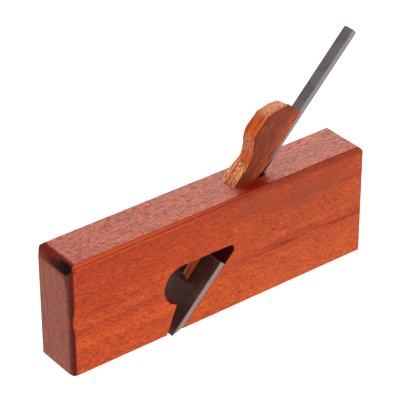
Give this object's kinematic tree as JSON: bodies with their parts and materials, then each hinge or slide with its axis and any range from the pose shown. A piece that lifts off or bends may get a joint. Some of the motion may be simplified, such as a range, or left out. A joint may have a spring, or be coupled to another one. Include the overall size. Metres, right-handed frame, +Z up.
{
  "type": "rabbet plane",
  "caption": "Small wooden rabbet plane: a block with an open-sided throat, a T-shaped steel iron bedded at 46 degrees and a hooked wooden wedge that holds it.",
  "frame": {"origin": "on the sole, under the middle of the stock's length and width", "axes": "+X to the heel, -X to the toe, +Y to the far cheek, +Z up from the sole"},
  "size_m": [0.1822, 0.0288, 0.1254],
  "materials": {
    "stock_wood": "red-brown hardwood, fine straight grain with dark pores, thin satin oil finish",
    "iron_steel": "dark ground tool steel with faint scratches, brighter ground edges",
    "wedge_wood": "orange hardwood, streaked along its length, bare and slightly rough"
  },
  "bodies": {
    "stock": {"stock": "stock_wood"},
    "iron": {"iron": "iron_steel"},
    "wedge": {"wedge": "wedge_wood"}
  },
  "joints": [
    {"name": "iron_slide", "type": "slide", "parent": "stock", "child": "iron", "axis": [0.6947, 0, 0.7193], "range_m": [-0.015, 0.006]},
    {"name": "wedge_slide", "type": "slide", "parent": "stock", "child": "wedge", "axis": [0.6428, 0, 0.766], "range_m": [0, 0.05]}
  ]
}
